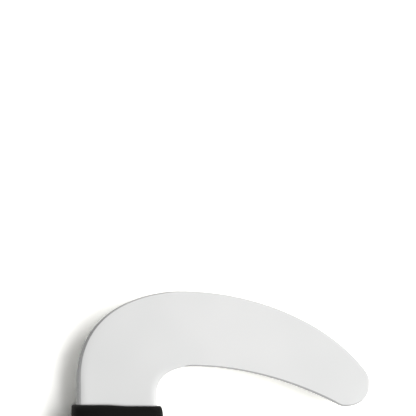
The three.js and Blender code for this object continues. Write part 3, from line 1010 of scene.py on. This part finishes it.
def butt_share(depth):
    """How much of the butt's rounding has been taken off at a depth."""
    past = min(max((depth - GRIP_LENGTH) / BUTT_DOWN + 1, 0), 1)
    return 1 - math.sqrt(max(1 - past * past, 0))


def losses(depth):
    """What the rounded rim and butt take off each side at a depth."""
    return {
        side: RIM_FALL[side] * rim_share(depth, MOUTH_ROUND[side]) + butt_share(depth) * BUTT_ROUND[side]
        for side in MOUTH_ROUND
    }


def rested(height):
    """Heights with everything below the rest face pushed up to it, and the corner softened."""
    share = np.clip(0.5 + 0.5 * (height - rest_level) / REST_SOFTNESS, 0, 1)
    return rest_level + (height - rest_level) * share + REST_SOFTNESS * share * (1 - share)


def in_frame(across, depth, height):
    """Places in the frame, from millimetres across, down from the mouth and above the mid-plane."""
    depths = np.broadcast_to(depth, np.shape(across))
    return np.column_stack([across * MM, MOUTH_Y - depths * MM, MID_Z + height * MM])


def dipped(across, depth):
    """Depths with the finger side of the mouth let down, which fades out further down."""
    left = 1 - ease(depth, 0, DIP_FADE)
    return depth + MOUTH_DIP * ease(across, DIP_FROM, DIP_FULL) * left


def section(depth, less):
    """The grip's outline at a depth, less what is taken off its sides and faces."""
    palm = mouth_side + through_stations(depth, PALM) - less["palm"] - SKIN_INSET
    finger = mouth_side + through_stations(depth, FINGER) - less["finger"] - SKIN_INSET
    half = through_stations(depth, HALF) - less["face"] - SKIN_INSET
    turn = np.cos(ANGLES)
    across = np.clip(squared(turn) * FLAT_SIDE, -1, 1)
    return across * np.where(turn > 0, finger, palm), squared(np.sin(ANGLES)) * half


print("rest face", round(-rest_level, 2), "mm below the blade's mid-plane")

# %% Rings of the grip
SEAM_HALF = 0.3
SEAM_DEPTH = 0.05
MOUTH_DISH = 0.7
RIM_STEPS = 16
BODY_STEP = 1.5
BUTT_STEPS = 18
FACE_STEPS = 9
FACE_MIDDLE = 0.04


def outside_ring(depth, share=1.0):
    """One ring of the sleeve's skin, or of its end faces when the share is less than 1."""
    skin_depth = depth if share == 1 else round(depth / GRIP_LENGTH) * GRIP_LENGTH
    across, height = section(skin_depth, losses(skin_depth))
    groove = SEAM_DEPTH * np.clip(1 - (height / SEAM_HALF) ** 2, 0, 1) ** 2
    across = (across - np.sign(across) * groove) * share
    return in_frame(across, dipped(across, depth), rested(height * share))


face_shares = np.linspace(FACE_MIDDLE, 1 - FACE_MIDDLE, FACE_STEPS)
rim_reach = max(MOUTH_ROUND.values())
butt_start = GRIP_LENGTH - BUTT_DOWN
rim_depths = rim_reach * (1 - np.cos(np.linspace(0, math.pi / 2, RIM_STEPS)))
body_depths = np.linspace(rim_reach, butt_start, int((butt_start - rim_reach) / BODY_STEP))[1:]
butt_depths = butt_start + BUTT_DOWN * np.sin(np.linspace(0, math.pi / 2, BUTT_STEPS))[1:]
sleeve_rings = [outside_ring(MOUTH_DISH * (1 - share), share) for share in face_shares]
sleeve_rings += [outside_ring(depth) for depth in (*rim_depths, *body_depths, *butt_depths)]
sleeve_rings += [outside_ring(GRIP_LENGTH, share) for share in face_shares[::-1]]
print(len(sleeve_rings), "rings down the sleeve")

# %% [markdown]
# ## From rings to solids
# Neighbouring rings are joined by quads, and each end is closed by a fan, so that every piece is a closed
# solid. What has to be open is cut out afterwards. Boolean cuts keep the outer skin as it is and give true
# walls inside, where pulling faces inwards would leave thin spots at the corners.

# %% Skin the rings and cut the openings


def skin(name, rings, finish):
    """A closed mesh object over rings of equal point counts."""
    count = len(rings[0])
    points = np.concatenate([*rings, [rings[0].mean(0)], [rings[-1].mean(0)]])
    faces = []
    for ring in range(len(rings) - 1):
        for spot in range(count):
            after = (spot + 1) % count
            low, high = ring * count, (ring + 1) * count
            faces.append((low + spot, low + after, high + after, high + spot))
    first, last = len(points) - 2, len(points) - 1
    base = (len(rings) - 1) * count
    for spot in range(count):
        after = (spot + 1) % count
        faces.append((first, after, spot))
        faces.append((last, base + spot, base + after))
    mesh = bpy.data.meshes.new(name)
    mesh.from_pydata([tuple(point) for point in points], [], faces)
    form = bmesh.new()
    form.from_mesh(mesh)
    bmesh.ops.recalc_face_normals(form, faces=form.faces)
    form.to_mesh(mesh)
    form.free()
    mesh.materials.append(finish)
    piece = bpy.data.objects.new(name, mesh)
    bpy.context.scene.collection.objects.link(piece)
    return piece


def cut_away(piece, cutters):
    """Cut closed shapes out of a piece, one after another."""
    for cutter in cutters:
        cut = piece.modifiers.new(cutter.name, "BOOLEAN")
        cut.operation = "DIFFERENCE"
        cut.solver = "EXACT"
        cut.object = cutter
    bake(piece)
    for cutter in cutters:
        bpy.data.objects.remove(cutter)
    return piece


def shade(piece, crease):
    """Smooth faces, with edges sharper than the crease kept crisp."""
    piece.data.polygons.foreach_set("use_smooth", [True] * len(piece.data.polygons))
    piece.data.set_sharp_from_angle(angle=math.radians(crease))


print("skinning helpers ready")

# %% [markdown]
# ## The grip sleeve
# The sleeve is hollow. The blade enters by a slot with a softened lip, the inner core fills the space behind
# it, and the butt has an oval seat with a hole for the cap's stem. Each opening is itself a skin over rings,
# a hair larger than the piece that goes in. The last lines store where hands rub the rubber smooth.

# %% Rings of the openings
GRIP_WALL = 3
LIP_ROUND = 0.25
LIP_STEPS = 7
SLOT_POINTS = 96
SLOT_STEPS = 6
CAVITY_STEPS = 24
OVERCUT = 1
BUTT_WALL = 5.5
CAP_THICKNESS = 1.6
CAP_STEM_MARGIN = 1.6
CAP_STEM_LENGTH = 11
cap_low, cap_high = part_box("butt_cap")
cap_half = ((cap_high.x - cap_low.x) / 2 / MM, (cap_high.z - cap_low.z) / 2 / MM)
stem_half = (cap_half[0] - CAP_STEM_MARGIN, cap_half[1] - CAP_STEM_MARGIN)
stem_top = GRIP_LENGTH - CAP_THICKNESS - CAP_STEM_LENGTH
ROUND = np.linspace(0, 2 * math.pi, SLOT_POINTS, endpoint=False)
lip_turns = np.linspace(0, math.pi / 2, LIP_STEPS)
LIP = [(LIP_ROUND * (1 - math.sin(turn)), LIP_ROUND * (1 - math.cos(turn))) for turn in lip_turns]


def slot_ring(depth, wider):
    """The blade's slot, a bar with round ends."""
    radius = neck_thickness / 2 + FIT_GAP
    straight = neck_side + FIT_GAP - radius
    across = (radius + wider) * np.cos(ROUND) + np.sign(np.cos(ROUND)) * straight
    return in_frame(across, dipped(across, depth), (radius + wider) * np.sin(ROUND))


def oval_ring(depth, half, wider):
    """An ellipse of these half sizes, made wider all round."""
    across = (half[0] + wider) * np.cos(ROUND)
    return in_frame(across, depth, (half[1] + wider) * np.sin(ROUND))


def cavity_ring(depth):
    """The space for the core, one wall inside the grip's outline."""
    side = GRIP_WALL + butt_share(depth) * BUTT_ROUND["palm"]
    face = GRIP_WALL + butt_share(depth) * BUTT_ROUND["face"]
    across, height = section(depth, {"palm": side, "finger": side, "face": face})
    return in_frame(across, depth, height)


slot_floor = NECK_SEAT + FIT_GAP
slot_rings = [slot_ring(-OVERCUT, LIP_ROUND)]
slot_rings += [slot_ring(deep, wider) for wider, deep in LIP]
slot_rings += [slot_ring(depth, 0) for depth in np.linspace(LIP_ROUND, slot_floor, SLOT_STEPS)[1:]]
cavity_depths = np.linspace(NECK_SEAT, GRIP_LENGTH - BUTT_WALL, CAVITY_STEPS)
cavity_rings = [cavity_ring(depth) for depth in cavity_depths]
seat_floor = GRIP_LENGTH - CAP_THICKNESS - FIT_GAP
seat_rings = [oval_ring(GRIP_LENGTH + OVERCUT, cap_half, FIT_GAP + LIP_ROUND)]
seat_rings += [oval_ring(GRIP_LENGTH - deep, cap_half, FIT_GAP + wider) for wider, deep in LIP]
seat_rings += [oval_ring(seat_floor, cap_half, FIT_GAP)]
stem_depths = (stem_top - FIT_GAP, GRIP_LENGTH - OVERCUT)
stem_rings = [oval_ring(depth, stem_half, FIT_GAP) for depth in stem_depths]
print("openings of", [len(rings) for rings in (cavity_rings, slot_rings, seat_rings, stem_rings)], "rings")

# %% Make the grip sleeve
RIM_RUBBED = (0.2, 2.4)
BUTT_RUBBED = 5
SWELL_RUBBED = (9, 11.5)
SWELL_SHARE = 0.5
sleeve = skin("soft_grip", sleeve_rings, GRIP_BLACK)
cut_away(
    sleeve,
    [
        skin("core_space", cavity_rings, GRIP_BLACK),
        skin("blade_slot", slot_rings, GRIP_BLACK),
        skin("cap_seat", seat_rings, GRIP_BLACK),
        skin("stem_hole", stem_rings, GRIP_BLACK),
    ],
)
shade(sleeve, CREASE)
places = np.array([vertex.co for vertex in sleeve.data.vertices])
depths = (MOUTH_Y - places[:, 1]) / MM
near_rim = 1 - ease(depths, *RIM_RUBBED)
near_butt = ease(depths, GRIP_LENGTH - BUTT_RUBBED, GRIP_LENGTH)
near_swell = SWELL_SHARE * ease((places[:, 2] - MID_Z) / MM, *SWELL_RUBBED)
rubbed = np.maximum(np.maximum(near_rim, near_butt), near_swell)
sleeve.data.attributes.new("rubbed", "FLOAT", "POINT").data.foreach_set("value", rubbed)
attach(sleeve, "root")
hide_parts("grip_sleeve")
print("sleeve", volume(sleeve))

# %% [markdown]
# ## The butt cap and what is hidden
# A small oval plug closes the butt where the mould's core was held. Its crown is a shallow dome that
# flattens in the middle, and its stem reaches into the core. The two core halves and the gasket never show
# when the knife is whole, so they keep their CAD shapes and only get their finishes.

# %% Make the butt cap and finish the hidden pieces
CROWN_RISE = 0.6
CROWN_FLAT = 0.6
CROWN_SOFTNESS = 8
CROWN_STEPS = 14
CROWN_MIDDLE = 0.05
CAP_EDGE = 0.15
CAP_CORNER = 0.05
STEM_CHAMFER = 0.4


def crown_rings():
    """The dome, from its rim to the flat in its middle."""
    rings = []
    for share in np.linspace(1 - CAP_EDGE / cap_half[1], CROWN_MIDDLE, CROWN_STEPS):
        climbed = (1 - share * share) / CROWN_FLAT
        soft = 1 - math.log1p(math.exp(CROWN_SOFTNESS * (1 - climbed))) / CROWN_SOFTNESS
        rise = CROWN_RISE * min(max(soft, 0), 1)
        half = (cap_half[0] * share, cap_half[1] * share)
        rings.append(oval_ring(GRIP_LENGTH + rise, half, 0))
    return rings


flange_top = GRIP_LENGTH - CAP_THICKNESS
cap_rings = [
    oval_ring(stem_top, stem_half, -2 * STEM_CHAMFER),
    oval_ring(stem_top, stem_half, -STEM_CHAMFER),
    oval_ring(stem_top + STEM_CHAMFER, stem_half, 0),
    oval_ring(flange_top, stem_half, 0),
    oval_ring(flange_top, cap_half, -CAP_EDGE),
    oval_ring(flange_top + CAP_EDGE, cap_half, 0),
    oval_ring(GRIP_LENGTH - CAP_EDGE, cap_half, 0),
    oval_ring(GRIP_LENGTH - CAP_CORNER, cap_half, -CAP_CORNER),
    *crown_rings(),
]
cap = skin("butt_plug", cap_rings, CAP_BLACK)
shade(cap, CREASE)
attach(cap, "root")
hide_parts("butt_cap")
HIDDEN = {"core_front_half": CORE_GREY, "core_rear_half": CORE_GREY, "mouth_gasket": GASKET_BLACK}
for node, finish in HIDDEN.items():
    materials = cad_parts[node].data.materials
    materials.clear()
    materials.append(finish)
print("cap", volume(cap))

# %% [markdown]
# ## The table
# The knife lies on a plain white sheet. A photographer lights such a sheet until it burns out, but that much
# light would burn out the knife as well. Here the light stays plain, and the sheet's colour is raised only
# for rays that come from the camera or a mirror. So it shows as white and still keeps the soft shadow.

# %% Table
SHEET_SIZE = 12
SHEET_WHITE = (0.9, 0.9, 0.87, 1)
SHEET_SEEN = (1.5, 1.495, 1.455, 1)


def seen_rays(tree):
    """1 for rays from the camera, also by way of a mirror or glass, and 0 for rays that only carry light."""
    path = tree.nodes.new("ShaderNodeLightPath").outputs
    do = sums(tree)
    return do.most(do.most(path["Is Camera Ray"], path["Is Glossy Ray"]), path["Is Transmission Ray"])


def white_sheet():
    """Matt paper that shows brighter than it lights."""
    finish, tree, shader = new_finish("white_sheet")
    output = tree.nodes["Material Output"]
    tree.nodes.remove(shader)
    colour = tint(tree, seen_rays(tree), SHEET_WHITE, SHEET_SEEN)
    paper = wire(tree, "ShaderNodeBsdfDiffuse", {"Color": colour})
    tree.links.new(paper, output.inputs["Surface"])
    return finish


sheet_mesh = bpy.data.meshes.new("white_sheet")
corner = SHEET_SIZE / 2
sheet_mesh.from_pydata(
    [(-corner, -corner, 0), (corner, -corner, 0), (corner, corner, 0), (-corner, corner, 0)],
    [],
    [(0, 1, 2, 3)],
)
sheet_mesh.materials.append(white_sheet())
sheet = bpy.data.objects.new("white_sheet", sheet_mesh)
bpy.context.scene.collection.objects.link(sheet)
print("sheet", SHEET_SIZE, "m wide")

# %% [markdown]
# ## The camera
# The photograph looks straight down, from so far away that nothing narrows with distance. A long lens high
# above the knife gives the same. Its place follows from the size of one pixel and from the pixel at which
# the grip's axis meets its mouth, so no shift of the lens is needed.

# %% Camera
PIXEL = 0.34
PHOTO_SIDE = 416
AXIS_PIXEL = 116.5
MOUTH_PIXEL = 404.7
CAMERA_HEIGHT = 3.0
SENSOR = 36
scene = bpy.context.scene
view_x = (PHOTO_SIDE / 2 - AXIS_PIXEL) * PIXEL * MM
view_y = MOUTH_Y + (MOUTH_PIXEL - PHOTO_SIDE / 2) * PIXEL * MM
camera_data = bpy.data.cameras.new("from_above")
camera_data.sensor_width = SENSOR
camera_data.lens = SENSOR * CAMERA_HEIGHT / (PHOTO_SIDE * PIXEL * MM)
camera = bpy.data.objects.new("from_above", camera_data)
camera.location = (view_x, view_y, MID_Z + CAMERA_HEIGHT)
scene.collection.objects.link(camera)
scene.camera = camera
scene.view_settings.view_transform = "Standard"
print("camera at", [round(value, 4) for value in camera.location], "lens", round(camera_data.lens, 1))

# %% [markdown]
# ## The room
# Steel looks like whatever it reflects, so the room is drawn with care. A pale ceiling lies over the blade
# and ends on the left, which draws the dark line along the back. Faint low glows stand at the right and in
# front. The walls are there only for the camera and for mirrors, and add no light of their own, so that the
# blade has something to show from every side. One high corner of them stays dark. Photographs of a room
# could do the same, but a few soft steps of the direction need no image.

# %% Room
ROOM_LIGHT = 0.112
WALLS_SEEN = (0.22, 0.6)
WALLS_RISE = (0.2, 0.9)
WALLS_TOP = (0.85, 0.95)
LOW_DOWN = (0.28, 0.42)
CEILING = {"aim": (0.34, 0, 0.94), "from": 0.80, "full": 0.97, "strength": 0.99}
RIGHT_WALL = {"aim": (0.92, -0.37, 0.14), "from": 0.55, "full": 0.85, "strength": 0.5}
NEAR_WALL = {"aim": (-0.15, -1, 0.1), "from": 0.7, "full": 0.98, "strength": 0.3}
DARK_CORNER = {"aim": (-0.62, 0.3, 0.72), "from": 0.93, "full": 0.985, "strength": 0.7}
LAMP_GLOW = {"aim": (0.42, 0.03, 0.9), "from": 0.956, "full": 0.994, "strength": 0.25}
scene.world = bpy.data.worlds.new("studio")
scene.world.use_nodes = True
room = scene.world.node_tree
do = sums(room)
direction = wire(room, "ShaderNodeTexCoord", output="Generated")
height = wire(room, "ShaderNodeSeparateXYZ", {0: direction}, "Z")
seen = seen_rays(room)


def soft_step(value, start, end, low, high):
    """A soft step from low to high between two values."""
    steps = {0: value, 1: start, 2: end, 3: low, 4: high}
    return wire(room, "ShaderNodeMapRange", steps, interpolation_type="SMOOTHSTEP")


def soft_patch(patch):
    """The strength of a round patch of the room, full near the direction it aims at."""
    facing = {0: direction, 1: Vector(patch["aim"]).normalized()}
    cosine = wire(room, "ShaderNodeVectorMath", facing, "Value", operation="DOT_PRODUCT")
    return soft_step(cosine, patch["from"], patch["full"], 0, patch["strength"])


rising = soft_step(height, *WALLS_RISE, *WALLS_SEEN)
walls = do.times(rising, soft_step(height, *WALLS_TOP, 1, 0))
walls = do.times(walls, do.minus(1, soft_patch(DARK_CORNER)))
above = do.most(soft_patch(CEILING), do.times(walls, seen))
low_walls = do.plus(soft_patch(RIGHT_WALL), soft_patch(NEAR_WALL))
below = do.times(low_walls, soft_step(height, *LOW_DOWN, 1, 0))
glow = do.times(soft_patch(LAMP_GLOW), seen)
strength = do.plus(do.plus(above, below), do.plus(glow, ROOM_LIGHT))
backdrop = room.nodes["Background"]
backdrop.inputs["Color"].default_value = (1, 1, 1, 1)
room.links.new(strength, backdrop.inputs["Strength"])
print("room drawn with", len(room.nodes), "nodes")

# %% [markdown]
# ## The lamp
# One large soft lamp stands to the right of the knife and throws the soft shadow on the left. A small lamp
# would give the same light with a hard shadow. Steel would mirror the lamp as a burnt-out patch, so it is
# hidden from mirrors, and the faint glow in the room takes its place there.

# %% Lamp
LAMP_AIM = (0.64, 0.11, 0.8)
LAMP_DISTANCE = 2.0
LAMP_WIDTH = 1.3
LAMP_LENGTH = 2.0
LAMP_POWER = 49
lamp_data = bpy.data.lights.new("soft_lamp", "AREA")
lamp_data.shape = "RECTANGLE"
lamp_data.size = LAMP_LENGTH
lamp_data.size_y = LAMP_WIDTH
lamp_data.energy = LAMP_POWER
lamp = bpy.data.objects.new("soft_lamp", lamp_data)
aim = Vector(LAMP_AIM).normalized()
lamp.location = Vector((view_x, view_y, MID_Z)) + aim * LAMP_DISTANCE
lamp.rotation_euler = aim.to_track_quat("Z", "Y").to_euler()
lamp.visible_glossy = False
scene.collection.objects.link(lamp)
print("lamp at", [round(value, 3) for value in lamp.location])
